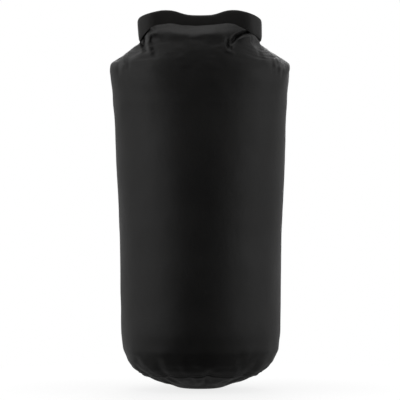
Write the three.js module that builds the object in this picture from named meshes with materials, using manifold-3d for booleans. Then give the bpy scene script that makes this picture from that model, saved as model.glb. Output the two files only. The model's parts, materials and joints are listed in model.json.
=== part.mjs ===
// A filled roll-top dry bag, closed: the mouth is rolled over a stiffened lip, and the two ends of the
// roll are bent round to the back and held together by a side-release buckle.
// Millimetres, +Z up. The origin is the middle of the foot. The front faces -Y and the buckle is at the back.
import * as THREE from "three";
import { mergeVertices } from "three/addons/utils/BufferGeometryUtils.js";
import Module from "manifold-3d";

// ---- Driving dimensions: the filled bag ----
const TUBE_LOW_R = 113.5; // the round tube just above the base
const TUBE_HIGH_R = 116.5; // the circle with the tube's girth at the shoulder
const SHOULDER_HALF = 131; // the shoulder is an oval, because the mouth pulls it flat
const SHOULDER_Z = 461;
const TUBE_START_Z = 62; // where the rounded foot of the tube becomes upright
const FLARE_POWER = 1.8;
const SEAM_R = 92; // base seam
const SEAM_Z = 24;
const FOOT_R = 38; // flat part of the base that the bag stands on
const CLOTH = 1.2; // modelled thickness of the coated cloth

// ---- Driving dimensions: the rolled closure ----
const ROLL_TOP_Z = 545;
const ROLL_HEIGHT = 34;
const ROLL_THICK = 9;
const ROLL_FRONT_Y = -42;
const ROLL_STRAIGHT = 61; // half the straight front run
const CORNER_R = 25;
const CORNER_TURN = 127; // degrees
const ARM_STRAIGHT = 43;
const TIP_R = 20;
const TIP_STRAIGHT = 8;
const MIDDLE_SAG = 7;
const SAG_REACH = 32;
const ARM_DROP = 12; // how much lower the arms lie than the front
const DROP_RUN = [50, 105]; // where, along the roll, it comes down
const CORE_HEIGHT = 25; // hollow core of the roll, round the stiffener
const CORE_THICK = 4.6;
const STIFFENER_HEIGHT = 22;
const STIFFENER_THICK = 1;

// ---- Driving dimensions: neck and front fold ----
const NECK_RUN = 90; // half the length of the neck, along the roll
const NECK_HALF = 4; // half the width between the two layers of cloth
const CREST_HEIGHT = 29; // the front panel stands up in a fold before the roll
const CREST_REACH = 72;

// ---- Driving dimensions: webbing and buckle ----
const WEB_WIDTH = 20;
const WEB_THICK = 1.5;
const BUCKLE_HALF = 24; // half the length of the closed buckle
const BUCKLE_HEIGHT = 28.5;
const FEMALE_THICK = 9;
const MALE_THICK = 7;
const WALL = 1.5;
const MOUTH_X = 8; // the female half's mouth, from the buckle's middle
const CAVITY_END_X = -13;
const SLOT = [15.5, 20.5]; // webbing slot of each half, from the middle
const SLOT_HEIGHT = 21.5;
const BAR_THICK = 4;
const WINDOW = [-11, 0.8];
const SCALLOP_R = 7.5;
const HINGE = [11, 9.5]; // root of a prong: X and Z from the buckle's middle
const ROOT_R = 2;
const PRONG_THICK = 4.8;
const GUIDE_HALF = 2;
const GAP = 0.3; // between neighbours that touch

const AROUND = 64; // points round the bag
const radians = THREE.MathUtils.degToRad;
const lerp = THREE.MathUtils.lerp;
const ARM_SPLIT = ROLL_STRAIGHT + (CORNER_R * Math.PI) / 2; // where the roll heads straight back
const TIP_SPLIT = ROLL_STRAIGHT + CORNER_R * radians(CORNER_TURN) + ARM_STRAIGHT; // where it turns to the buckle
const ROLL_HALF = TIP_SPLIT + TIP_R * radians(180 - CORNER_TURN) + TIP_STRAIGHT;

const wasm = await Module();
wasm.setup();

// ---- Helpers ----

// A closed geometry as a solid for cutting and joining.
function solidOf(geometry) {
  const bare = geometry.clone();
  for (const name of Object.keys(bare.attributes)) if (name !== "position") bare.deleteAttribute(name);
  const merged = mergeVertices(bare, 1e-4);
  return new wasm.Manifold(
    new wasm.Mesh({
      numProp: 3,
      vertProperties: new Float32Array(merged.attributes.position.array),
      triVerts: new Uint32Array(merged.index.array),
    }),
  );
}

function geometryOf(solid) {
  const mesh = solid.getMesh();
  const geometry = new THREE.BufferGeometry();
  geometry.setAttribute("position", new THREE.BufferAttribute(new Float32Array(mesh.vertProperties), 3));
  geometry.setIndex(new THREE.BufferAttribute(new Uint32Array(mesh.triVerts), 1));
  return geometry;
}

function joined(...geometries) {
  return geometryOf(geometries.map(solidOf).reduce((sum, next) => sum.add(next)));
}

function cut(geometry, ...cutters) {
  return geometryOf(cutters.map(solidOf).reduce((rest, next) => rest.subtract(next), solidOf(geometry)));
}

// Turns the faces of a closed geometry outwards.
function facingOut(geometry) {
  const p = geometry.attributes.position;
  const index = geometry.index.array;
  const [a, b, c] = [new THREE.Vector3(), new THREE.Vector3(), new THREE.Vector3()];
  let volume = 0;
  for (let i = 0; i < index.length; i += 3) {
    a.fromBufferAttribute(p, index[i]);
    b.fromBufferAttribute(p, index[i + 1]);
    c.fromBufferAttribute(p, index[i + 2]);
    volume += a.dot(b.cross(c));
  }
  if (volume < 0) for (let i = 0; i < index.length; i += 3) [index[i + 1], index[i + 2]] = [index[i + 2], index[i + 1]];
  return geometry;
}

// Joins rings of points into one closed surface. With ends, the first and last ring are closed by caps;
// without, the last ring joins the first.
function loft(rings, ends) {
  const n = rings[0].length;
  const points = rings.flat().flatMap((p) => [p.x, p.y, p.z]);
  const faces = [];
  const spans = ends ? rings.length - 1 : rings.length;
  for (let k = 0; k < spans; k++) {
    const next = (k + 1) % rings.length;
    for (let i = 0; i < n; i++) {
      const j = (i + 1) % n;
      faces.push(k * n + i, k * n + j, next * n + j, k * n + i, next * n + j, next * n + i);
    }
  }
  const cap = (base, turn) => {
    for (let i = 0; i < n / 2 - 1; i++) {
      const [a, b, c, d] = [base + i, base + i + 1, base + n - 2 - i, base + n - 1 - i];
      faces.push(...(turn ? [a, c, b, a, d, c] : [a, b, c, a, c, d]));
    }
  };
  if (ends) {
    cap(0, true);
    cap((rings.length - 1) * n, false);
  }
  const geometry = new THREE.BufferGeometry();
  geometry.setAttribute("position", new THREE.Float32BufferAttribute(points, 3));
  geometry.setIndex(faces);
  return facingOut(geometry);
}

// A profile of [radius, height] pairs, turned about the bag's axis.
function turned(profile) {
  const geometry = new THREE.LatheGeometry(
    profile.map(([r, z]) => new THREE.Vector2(r, z)),
    AROUND,
  ).rotateX(Math.PI / 2);
  for (const name of ["normal", "uv"]) geometry.deleteAttribute(name);
  const merged = mergeVertices(geometry, 1e-4);
  const index = merged.index.array;
  const kept = [];
  for (let i = 0; i < index.length; i += 3) {
    const [a, b, c] = [index[i], index[i + 1], index[i + 2]];
    if (a !== b && b !== c && c !== a) kept.push(a, b, c);
  }
  merged.setIndex(kept);
  return facingOut(merged);
}

// A flat outline in X and Z, of that thickness in Y, with rounded edges.
function plate(shape, thick, edge) {
  const geometry = new THREE.ExtrudeGeometry(shape, {
    depth: thick - 2 * edge,
    bevelEnabled: edge > 0,
    bevelThickness: edge,
    bevelSize: edge,
    bevelOffset: -edge,
    bevelSegments: 2,
    curveSegments: 6,
  });
  return geometry.translate(0, 0, edge - thick / 2).rotateX(Math.PI / 2);
}

function block(x, y, z) {
  return new THREE.BoxGeometry(x[1] - x[0], y[1] - y[0], z[1] - z[0]).translate(
    (x[0] + x[1]) / 2,
    (y[0] + y[1]) / 2,
    (z[0] + z[1]) / 2,
  );
}

// A round bar along Y.
function bar(radius, thick, x, z) {
  return new THREE.CylinderGeometry(radius, radius, thick, 24).translate(x, 0, z);
}

function roundedOutline(x, halfHeight, radius) {
  const shape = new THREE.Shape();
  shape.moveTo(x[0] + radius, -halfHeight);
  shape.lineTo(x[1] - radius, -halfHeight);
  shape.quadraticCurveTo(x[1], -halfHeight, x[1], radius - halfHeight);
  shape.lineTo(x[1], halfHeight - radius);
  shape.quadraticCurveTo(x[1], halfHeight, x[1] - radius, halfHeight);
  shape.lineTo(x[0] + radius, halfHeight);
  shape.quadraticCurveTo(x[0], halfHeight, x[0], halfHeight - radius);
  shape.lineTo(x[0], radius - halfHeight);
  shape.quadraticCurveTo(x[0], -halfHeight, x[0] + radius, -halfHeight);
  return shape;
}

// ---- The route of the roll ----

// Its centreline in plan at a distance from the middle of the front, with its heading in degrees.
function rollPlan(distance) {
  const side = Math.sign(distance) || 1;
  let left = Math.abs(distance);
  let [x, y, heading] = [0, ROLL_FRONT_Y, 0];
  const straight = (length) => {
    const run = Math.min(left, length);
    x += run * Math.cos(radians(heading));
    y += run * Math.sin(radians(heading));
    left -= run;
  };
  const turn = (radius, degrees) => {
    const run = Math.min(left, radius * radians(degrees));
    const end = radians(heading) + run / radius;
    x += radius * (Math.sin(end) - Math.sin(radians(heading)));
    y += radius * (Math.cos(radians(heading)) - Math.cos(end));
    heading = THREE.MathUtils.radToDeg(end);
    left -= run;
  };
  straight(ROLL_STRAIGHT);
  turn(CORNER_R, CORNER_TURN);
  straight(ARM_STRAIGHT);
  turn(TIP_R, 180 - CORNER_TURN);
  straight(TIP_STRAIGHT);
  return { x: side * x, y, heading: side > 0 ? heading : -heading };
}

function rollTop(distance) {
  const away = Math.abs(distance);
  const drop = ARM_DROP * THREE.MathUtils.smoothstep(away, ...DROP_RUN);
  return ROLL_TOP_Z - MIDDLE_SAG * Math.exp(-((away / SAG_REACH) ** 2)) - drop;
}

// A section of the roll's route: an oblong of that thickness and height, centred on the roll.
function rollSection(distance, thick, height, roundness, count) {
  const { x, y, heading } = rollPlan(distance);
  const middle = rollTop(distance) - ROLL_HEIGHT / 2;
  const [nx, ny] = [-Math.sin(radians(heading)), Math.cos(radians(heading))];
  return Array.from({ length: count }, (_, i) => {
    const angle = ((i + 0.5) / count) * 2 * Math.PI;
    const across = (thick / 2) * Math.sign(Math.cos(angle)) * Math.abs(Math.cos(angle)) ** roundness;
    const up = (height / 2) * Math.sign(Math.sin(angle)) * Math.abs(Math.sin(angle)) ** roundness;
    return new THREE.Vector3(x + nx * across, y + ny * across, middle + up);
  });
}

function stations(from, to, step) {
  const count = Math.ceil((to - from) / step);
  return Array.from({ length: count + 1 }, (_, i) => lerp(from, to, i / count));
}

// Part of the roll: many turns of cloth, modelled as a wall round a hollow core.
function rolledCollar(from, to) {
  const places = stations(from, to, 5);
  const outer = places.map((d) => rollSection(d, ROLL_THICK, ROLL_HEIGHT, 0.55, 20));
  const inner = places.map((d) => rollSection(d, CORE_THICK, CORE_HEIGHT, 0.3, 20)).reverse();
  return loft([...outer, ...inner], false);
}

function stiffener(from, to) {
  return loft(
    stations(from, to, 6).map((d) => rollSection(d, STIFFENER_THICK, STIFFENER_HEIGHT, 0.2, 8)),
    true,
  );
}

// ---- The bag ----

function footHeight(r) {
  return SEAM_Z * (Math.max(0, r - FOOT_R) / (SEAM_R - FOOT_R)) ** 1.25;
}

// Half width and half depth of the tube at a height.
function tubeSize(z) {
  if (z < TUBE_START_Z) {
    const rise = (z - SEAM_Z) / (TUBE_START_Z - SEAM_Z);
    const r = lerp(SEAM_R, TUBE_LOW_R, 1 - (1 - rise) ** 1.8);
    return [r, r];
  }
  const rise = (z - TUBE_START_Z) / (SHOULDER_Z - TUBE_START_Z);
  const half = lerp(TUBE_LOW_R, SHOULDER_HALF, rise ** FLARE_POWER);
  const girth = lerp(TUBE_LOW_R, TUBE_HIGH_R, rise);
  return [half, Math.sqrt(2 * girth ** 2 - half ** 2)];
}

function tubeRing(z, inset) {
  const [halfX, halfY] = tubeSize(z);
  return Array.from({ length: AROUND }, (_, i) => {
    const angle = (i / AROUND) * 2 * Math.PI;
    return new THREE.Vector3((halfX - inset) * Math.cos(angle), (halfY - inset) * Math.sin(angle), z);
  });
}

// A ring of the shoulder, from the tube's last ring (share 0) to the neck under the roll (share 1).
function shoulderRing(share, inset) {
  const start = tubeRing(SHOULDER_Z, inset);
  return start.map((p, i) => {
    const angle = (i / AROUND) * 2 * Math.PI;
    const run = NECK_RUN * Math.sign(Math.cos(angle)) * Math.abs(Math.cos(angle)) ** 0.6;
    const { x, y, heading } = rollPlan(run);
    const across = (NECK_HALF + CLOTH - inset) * Math.sign(Math.sin(angle)) * Math.abs(Math.sin(angle)) ** 0.5;
    const rim = rollTop(run) - ROLL_HEIGHT - 1;
    const neck = new THREE.Vector3(
      x - across * Math.sin(radians(heading)),
      y + across * Math.cos(radians(heading)),
      rim,
    );
    const front = Math.max(0, -Math.sin(angle)) ** 0.5 * Math.exp(-((Math.abs(p.x) / CREST_REACH) ** 4));
    const crest = CREST_HEIGHT * front * Math.sin(Math.PI * share ** 3.1);
    const lower = inset * Math.min(1, 4 * share) * (1 - share ** 12);
    return p.clone().lerp(neck, share).add(new THREE.Vector3(0, 0, crest - lower));
  });
}

function bodyTube() {
  const heights = [SEAM_Z + 0.6, 30, 38, 48, TUBE_START_Z, 120, 200, 280, 340, 400, 435, SHOULDER_Z];
  const shares = [0.15, 0.35, 0.55, 0.7, 0.8, 0.88, 0.94, 1];
  const skin = (inset) => [
    ...heights.map((z) => tubeRing(z, inset)),
    ...shares.map((share) => shoulderRing(share, inset)),
  ];
  return loft([...skin(0), ...skin(CLOTH).reverse()], false);
}

function basePanel() {
  const edge = SEAM_R - 0.6;
  const radii = [FOOT_R, 50, 60, 70, 80, edge];
  const under = radii.map((r) => [r, footHeight(r)]);
  const over = radii.map((r) => [r, footHeight(r) + CLOTH]).reverse();
  return turned([[0, 0], ...under, ...over, [0, CLOTH]]);
}

// Tape over the inside of the base seam.
function baseSeamTape() {
  const thick = 0.8;
  const clear = CLOTH + GAP + 0.3;
  const side = (inset) => [
    ...[80, 86].map((r) => [r, footHeight(r) + inset]),
    [tubeSize(SEAM_Z + 4)[0] - inset - 3.5, SEAM_Z + inset],
    ...[32, 38].map((z) => [tubeSize(z)[0] - inset, z]),
  ];
  const outline = [...side(clear), ...side(clear + thick).reverse()];
  return turned([...outline, outline[0]]);
}

// Tape over the inside of the tube's one upright seam, at the back.
function sideSeamTape() {
  const [half, thick, clear] = [9, 0.8, CLOTH + GAP + 0.2];
  const row = (z, inset, turnBack) => {
    const [halfX, halfY] = tubeSize(z);
    const points = [-1, -0.5, 0, 0.5, 1].map((k) => {
      const x = k * half;
      return new THREE.Vector3(x, (halfY - inset) * Math.sqrt(1 - (x / (halfX - inset)) ** 2), z);
    });
    return turnBack ? points.reverse() : points;
  };
  const heights = [TUBE_START_Z, 110, 160, 210, 260, 310, 350, 390, 420, SHOULDER_Z - 6];
  return loft(
    heights.map((z) => [...row(z, clear, false), ...row(z, clear + thick, true)]),
    true,
  );
}

// ---- Buckle and webbing, drawn round the buckle's middle: X along the pull, Z across, Y the thickness ----

// The bar that the webbing goes round, thinner than its frame. side is -1 for the female half, 1 for the male.
function barCutters(side, thick) {
  const reach = [SLOT[1], BUCKLE_HALF + 2].map((x) => side * x).sort((a, b) => a - b);
  const slot = SLOT.map((x) => side * x).sort((a, b) => a - b);
  const z = [-SLOT_HEIGHT / 2, SLOT_HEIGHT / 2];
  return [
    block(slot, [-thick, thick], z),
    block(reach, [BAR_THICK / 2, thick], z),
    block(reach, [-thick, -BAR_THICK / 2], z),
  ];
}

function femaleHalf() {
  const half = BUCKLE_HEIGHT / 2;
  const housing = plate(roundedOutline([-BUCKLE_HALF, MOUTH_X], half, 3.5), FEMALE_THICK, 1);
  const inside = FEMALE_THICK / 2 - WALL;
  const cavity = block([CAVITY_END_X, MOUTH_X + 5], [-inside, inside], [WALL - half, half - WALL]);
  const sides = [-1, 1].flatMap((side) => [
    block(WINDOW, [-inside, inside], side > 0 ? [half - 2 * WALL, half + 5] : [-half - 5, 2 * WALL - half]),
    bar(SCALLOP_R, 2 * FEMALE_THICK, (WINDOW[0] + WINDOW[1]) / 2, side * (half + 4.2)),
  ]);
  return cut(housing, cavity, ...sides, ...barCutters(-1, FEMALE_THICK));
}

function maleHalf() {
  const half = BUCKLE_HEIGHT / 2;
  const base = plate(roundedOutline([MOUTH_X + GAP, BUCKLE_HALF], half, 3.5), MALE_THICK, 1);
  const guide = new THREE.Shape();
  guide.moveTo(MOUTH_X + 2, -GUIDE_HALF);
  guide.lineTo(MOUTH_X + 2, GUIDE_HALF);
  guide.lineTo(-9, GUIDE_HALF);
  guide.quadraticCurveTo(-11, GUIDE_HALF, -11, 0);
  guide.quadraticCurveTo(-11, -GUIDE_HALF, -9, -GUIDE_HALF);
  const sockets = [-1, 1].flatMap((side) => [
    bar(ROOT_R + GAP, 2 * MALE_THICK, HINGE[0], side * HINGE[1]),
    block([MOUTH_X - 2, HINGE[0]], [-MALE_THICK, MALE_THICK], side > 0 ? [7, 11.7] : [-11.7, -7]),
  ]);
  return cut(joined(base, plate(guide, PRONG_THICK, 0.5)), ...sockets, ...barCutters(1, MALE_THICK));
}

// One prong, with its button in the female half's window. The lower one is the same moulding turned over.
function prong(side) {
  const arm = new THREE.Shape();
  arm.moveTo(HINGE[0], 8.3);
  arm.lineTo(HINGE[0], 11.3);
  arm.lineTo(1.6, 11.3);
  arm.quadraticCurveTo(0.4, 11.4, 0.4, 12.4);
  arm.lineTo(0.4, 14.3);
  arm.quadraticCurveTo(0.4, 14.9, -0.4, 14.9);
  arm.lineTo(-5, 14.9);
  arm.quadraticCurveTo(-8.5, 14.2, -11, 10.4);
  arm.quadraticCurveTo(-11.6, 8.8, -10, 8.3);
  const root = bar(ROOT_R, MALE_THICK - 2 * GAP, HINGE[0], HINGE[1]);
  const whole = joined(plate(arm, PRONG_THICK, 0), root);
  return side > 0 ? whole : whole.rotateX(Math.PI);
}

// Webbing that goes round the bar, with both layers ending inside the roll.
function webbingTab(side) {
  const inner = BAR_THICK / 2 + GAP;
  const outer = inner + WEB_THICK;
  const turn = SLOT[1] - GAP;
  const end = BUCKLE_HALF + 13;
  const neck = BUCKLE_HALF + 6;
  const shape = new THREE.Shape();
  shape.moveTo(end, -WEB_THICK);
  shape.lineTo(neck, -WEB_THICK);
  shape.quadraticCurveTo(BUCKLE_HALF + 3, -outer, BUCKLE_HALF, -outer);
  shape.lineTo(turn, -outer);
  shape.quadraticCurveTo(turn - WEB_THICK, -outer, turn - WEB_THICK, 0.4 - inner);
  shape.lineTo(turn - WEB_THICK, inner - 0.4);
  shape.quadraticCurveTo(turn - WEB_THICK, outer, turn, outer);
  shape.lineTo(BUCKLE_HALF, outer);
  shape.quadraticCurveTo(BUCKLE_HALF + 3, outer, neck, WEB_THICK);
  shape.lineTo(end, WEB_THICK);
  const hole = new THREE.Path();
  hole.moveTo(turn, inner);
  hole.lineTo(turn, -inner);
  hole.lineTo(BUCKLE_HALF + GAP, -inner);
  hole.quadraticCurveTo(BUCKLE_HALF + 2, -inner, neck - 1.5, 0);
  hole.quadraticCurveTo(BUCKLE_HALF + 2, inner, BUCKLE_HALF + GAP, inner);
  shape.holes.push(hole);
  const web = new THREE.ExtrudeGeometry(shape, { depth: WEB_WIDTH, bevelEnabled: false, curveSegments: 5 });
  web.translate(0, 0, -WEB_WIDTH / 2);
  return side > 0 ? web : web.rotateZ(Math.PI);
}

// The dense row of thread that holds the two layers of webbing together, on the face that looks back.
function bartack(side) {
  const x = BUCKLE_HALF + 6.2;
  const reach = [x, x + 0.9].map((end) => side * end).sort((a, b) => a - b);
  return block(reach, [WEB_THICK + GAP, WEB_THICK + GAP + 0.7], [-8.5, 8.5]);
}

// ---- Assembly ----

const CLOTH_LOOK = { color: 0x1c1c1c, roughness: 0.55, metalness: 0 };
const WEB_LOOK = { color: 0x161616, roughness: 0.8, metalness: 0 };
const PLASTIC_LOOK = { color: 0x121212, roughness: 0.4, metalness: 0 };
const TAPE_LOOK = { color: 0x2e2e2e, roughness: 0.35, metalness: 0 };
const STRIP_LOOK = { color: 0x262626, roughness: 0.5, metalness: 0 };

function add(group, name, geometry, look) {
  const mesh = new THREE.Mesh(geometry, new THREE.MeshStandardMaterial(look));
  mesh.name = name;
  group.add(mesh);
}

const bag = new THREE.Group();
add(bag, "body_tube", bodyTube(), CLOTH_LOOK);
add(bag, "base_panel", basePanel(), CLOTH_LOOK);
add(bag, "base_seam_tape", baseSeamTape(), TAPE_LOOK);
add(bag, "side_seam_tape", sideSeamTape(), TAPE_LOOK);
add(bag, "collar_front", rolledCollar(GAP / 2 - ARM_SPLIT, ARM_SPLIT - GAP / 2), CLOTH_LOOK);
add(bag, "stiffener_front", stiffener(1 - ARM_SPLIT, ARM_SPLIT - 1), STRIP_LOOK);
add(bag, "collar_left", rolledCollar(-ROLL_HALF, -ARM_SPLIT - GAP / 2), CLOTH_LOOK);
add(bag, "collar_right", rolledCollar(ARM_SPLIT + GAP / 2, TIP_SPLIT - GAP / 2), CLOTH_LOOK);
add(bag, "collar_right_tip", rolledCollar(TIP_SPLIT + GAP / 2, ROLL_HALF), CLOTH_LOOK);
add(bag, "stiffener_left", stiffener(1 - TIP_SPLIT, -ARM_SPLIT - 1), STRIP_LOOK);
add(bag, "stiffener_right", stiffener(ARM_SPLIT + 1, TIP_SPLIT - 1), STRIP_LOOK);

const tip = rollPlan(ROLL_HALF);
const buckle = new THREE.Group();
buckle.position.set(0, tip.y, rollTop(ROLL_HALF) - ROLL_HEIGHT / 2);
bag.add(buckle);
for (const [side, name] of [[-1, "left"], [1, "right"]]) {
  add(buckle, `webbing_tab_${name}`, webbingTab(side), WEB_LOOK);
  add(buckle, `bartack_${name}`, bartack(side), WEB_LOOK);
}
add(buckle, "buckle_female", femaleHalf(), PLASTIC_LOOK);
add(buckle, "buckle_male", maleHalf(), PLASTIC_LOOK);
add(buckle, "prong_upper", prong(1), PLASTIC_LOOK);
add(buckle, "prong_lower", prong(-1), PLASTIC_LOOK);

export default bag;
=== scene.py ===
# %% [markdown]
# # A roll-top dry bag
# A dry bag is a tube of coated nylon with a round base. It is packed, its mouth is rolled shut over a
# stiff lip, and the two ends of the roll are bent round to the back and clipped together with a buckle.
# The imported model gives the size and place of every piece, so the lesson starts by loading it. The base
# and its seam, the buckle, and the webbing tabs with their bartacks then ride on its bodies, and so move
# when the handle lifts or the buckle opens. The body, the roll, the gussets and the upright seam stay where
# they are made.

# %% Load the frame
import json
import math
import bmesh
import bpy
import numpy as np
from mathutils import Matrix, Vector, noise

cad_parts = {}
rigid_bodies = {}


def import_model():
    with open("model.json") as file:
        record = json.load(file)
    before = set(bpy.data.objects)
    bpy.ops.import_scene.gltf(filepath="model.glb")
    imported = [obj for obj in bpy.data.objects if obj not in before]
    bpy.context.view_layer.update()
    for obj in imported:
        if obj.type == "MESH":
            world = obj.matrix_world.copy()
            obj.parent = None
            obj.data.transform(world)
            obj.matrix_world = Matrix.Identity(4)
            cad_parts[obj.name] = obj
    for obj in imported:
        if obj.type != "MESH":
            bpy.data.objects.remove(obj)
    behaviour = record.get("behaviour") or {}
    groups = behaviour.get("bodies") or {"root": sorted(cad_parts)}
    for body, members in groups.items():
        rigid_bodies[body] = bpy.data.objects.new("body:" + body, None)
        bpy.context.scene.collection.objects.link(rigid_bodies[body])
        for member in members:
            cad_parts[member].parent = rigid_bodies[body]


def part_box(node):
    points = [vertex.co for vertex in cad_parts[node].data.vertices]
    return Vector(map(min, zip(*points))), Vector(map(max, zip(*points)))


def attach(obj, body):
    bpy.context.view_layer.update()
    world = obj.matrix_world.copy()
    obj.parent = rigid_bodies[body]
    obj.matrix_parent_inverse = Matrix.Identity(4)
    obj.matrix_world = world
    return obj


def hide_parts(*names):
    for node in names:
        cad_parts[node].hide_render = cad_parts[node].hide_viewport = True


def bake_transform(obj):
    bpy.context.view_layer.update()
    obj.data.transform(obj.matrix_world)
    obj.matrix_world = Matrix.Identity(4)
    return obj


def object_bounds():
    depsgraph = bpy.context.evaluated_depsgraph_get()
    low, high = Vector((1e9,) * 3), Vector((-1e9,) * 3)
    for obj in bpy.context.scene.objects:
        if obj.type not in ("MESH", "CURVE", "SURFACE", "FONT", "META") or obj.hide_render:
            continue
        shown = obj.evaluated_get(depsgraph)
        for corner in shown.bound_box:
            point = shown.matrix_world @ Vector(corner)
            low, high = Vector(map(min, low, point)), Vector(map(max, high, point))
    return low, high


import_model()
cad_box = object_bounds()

MM = 0.001


def in_scene(name, data):
    """A new object of the scene with that data."""
    thing = bpy.data.objects.new(name, data)
    bpy.context.scene.collection.objects.link(thing)
    return thing


print("CAD box, mm:", [[round(v / MM) for v in corner] for corner in cad_box])

# %% [markdown]
# ## The camera
# The bag is seen straight from the front and level with its middle. A long lens from a few metres away
# keeps its sides nearly parallel, as a product picture does. Only the height that the picture takes in
# and the distance are chosen. The lens follows from them.

# %% Camera
centre_z = (cad_box[0].z + cad_box[1].z) / 2
VIEW_HEIGHT = 0.580  # what the picture takes in at the bag
CAMERA_AWAY = 3.4
SENSOR = 36  # millimetres
camera_data = bpy.data.cameras.new("camera")
camera_data.lens = SENSOR * CAMERA_AWAY / VIEW_HEIGHT
camera = in_scene("camera", camera_data)
camera.location = (0, -CAMERA_AWAY, centre_z)
camera.rotation_euler = (math.pi / 2, 0, 0)
bpy.context.scene.camera = camera
print("lens, mm:", round(camera_data.lens))

# %% [markdown]
# ## Shader maths as Python expressions
# A finish is a recipe of small sums on positions and noises. Writing each sum as a node by hand hides the
# recipe, so a small class wraps a socket, and its operators add the Math nodes.


# %% Value and Nodes
class Value:
    """A number, colour or vector that changes over the surface."""

    def __init__(self, nodes, socket):
        self.nodes, self.socket = nodes, socket

    def output(self, name):
        return Value(self.nodes, self.socket.node.outputs[name])

    def __add__(self, other):
        return self.nodes.math("ADD", self, other)

    def __mul__(self, other):
        return self.nodes.math("MULTIPLY", self, other)

    def __truediv__(self, other):
        return self.nodes.math("DIVIDE", self, other)


class Nodes:
    """A node tree, and the one way in which its nodes are made."""

    def __init__(self, tree):
        self.tree = tree

    def set(self, node, values):
        for key, value in values.items():
            socket = node.inputs[key]
            if isinstance(value, Value):
                self.tree.links.new(value.socket, socket)
            else:
                socket.default_value = value

    def node(self, kind, values=None, output=0, **settings):
        made = self.tree.nodes.new(kind)
        for name, value in settings.items():
            setattr(made, name, value)
        self.set(made, values or {})
        return Value(self, made.outputs[output]) if made.outputs else made

    def math(self, operation, first, second=0.0):
        return self.node("ShaderNodeMath", {0: first, 1: second}, operation=operation)

    def within(self, value, low, high, to_low=0.0, to_high=1.0):
        """A soft step: to_low where the value is below low, to_high where it is above high."""
        values = {0: value, 1: low, 2: high, 3: to_low, 4: to_high}
        return self.node("ShaderNodeMapRange", values, interpolation_type="SMOOTHSTEP")

    def parts(self, vector):
        x = self.node("ShaderNodeSeparateXYZ", {0: vector})
        return x, x.output(1), x.output(2)


class Recipe(Nodes):
    """One finish, and the nodes that it is made of. It can also be the light of the world."""

    def __init__(self, owner, **shader):
        owner.use_nodes = True
        super().__init__(owner.node_tree)
        self.owner = owner
        self.shader = next(n for n in self.tree.nodes if n.type in ("BSDF_PRINCIPLED", "BACKGROUND"))
        self.finish(**shader)

    def finish(self, **values):
        """Sets or links the shader's sockets. Underscores stand for the spaces in their names."""
        self.set(self.shader, {name.replace("_", " "): value for name, value in values.items()})
        return self.owner

    def place(self, output="Object"):
        return self.node("ShaderNodeTexCoord", output=output)

    def stretched(self, vector, scale):
        return self.node("ShaderNodeMapping", {"Vector": vector, "Scale": scale})

    def noise(self, vector, scale, detail=3.0, roughness=0.5):
        values = {"Vector": vector, "Scale": scale, "Detail": detail, "Roughness": roughness}
        return self.node("ShaderNodeTexNoise", values)

    def blend(self, share, low, high):
        return self.node("ShaderNodeMix", {0: share, 6: low, 7: high}, output=2, data_type="RGBA")

    def bump(self, height, depth, strength=1.0, under=None):
        values = {"Height": height, "Distance": depth, "Strength": strength}
        if under is not None:
            values["Normal"] = under
        return self.node("ShaderNodeBump", values)


def new_finish(name, **shader):
    return Recipe(bpy.data.materials.new(name), **shader)


def grey(level, warmth=0.0):
    return (level * (1 + warmth), level, level * (1 - warmth), 1)


# %% [markdown]
# ## The coated cloth
# The bag is a light nylon, woven plain and coated inside. Its threads are about half a millimetre apart,
# too fine to see one by one from a pace away, but they turn the gloss into a satin sheen. The weave
# follows the cloth, so it reads the UV map, which holds metres along and across the cloth. Stuffing the
# bag leaves fine crinkles, slow changes of tone and a few pale scuffs, and each is a noise of its own size.


# %% Cloth finish
THREADS_APART = 0.55 * MM


def cloth_finish(name, level=0.0095):
    cloth = new_finish(name, Specular_IOR_Level=0.45, Sheen_Weight=0.05, Sheen_Roughness=0.45)
    across, along, _ = cloth.parts(cloth.place("UV"))
    turn = 2 * math.pi / THREADS_APART
    weave = cloth.math("SINE", across * turn) * cloth.math("SINE", along * turn)
    place = cloth.place()
    crinkle = cloth.noise(cloth.stretched(place, (1, 1, 0.55)), 62, 4, 0.55)
    cloud = cloth.noise(place, 9, 3, 0.6)
    scuff = cloth.within(cloth.noise(place, 160, 2, 0.7), 0.6, 0.8)
    tone = cloth.within(cloud, 0.3, 0.7)
    colour = cloth.blend(tone, grey(level * 0.8, 0.03), grey(level * 1.25, 0.06))
    colour = cloth.blend(scuff * 0.2, colour, grey(0.035, 0.03))
    rough = cloth.within(cloud, 0.3, 0.7, 0.42, 0.5) + scuff * 0.1 + weave * 0.02
    relief = cloth.bump(crinkle, 1.3 * MM, 0.22)
    relief = cloth.bump(weave, 0.05 * MM, 0.5, relief)
    return cloth.finish(Base_Color=colour, Roughness=rough, Normal=relief)


body_cloth = cloth_finish("black_coated_nylon")
print("finish:", body_cloth.name)


# %% [markdown]
# ## Pieces from points
# Most pieces here are grids of points that were worked out in Python. One helper turns points and faces
# into a mesh object that stands at the origin, with its place in its mesh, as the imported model's pieces
# do. The body and the base are such grids with no thickness, because they close each other and are seen
# from outside only. The roll, the gussets, the seams and the webbing show their edges, so a Solidify
# modifier gives them a real thickness. All modifiers are baked in before a piece is fixed to a body.


# %% Make a piece
def make_piece(name, points, faces, finish, uv=None, smooth=True):
    mesh = bpy.data.meshes.new(name)
    mesh.from_pydata([tuple(p) for p in points], [], [tuple(f) for f in faces])
    if uv is not None:
        layer = mesh.uv_layers.new(name="cloth")
        for loop, pair in enumerate(uv):
            layer.data[loop].uv = pair
    mesh.materials.append(finish)
    if smooth:
        mesh.shade_smooth()
    return in_scene(name, mesh)


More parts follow.
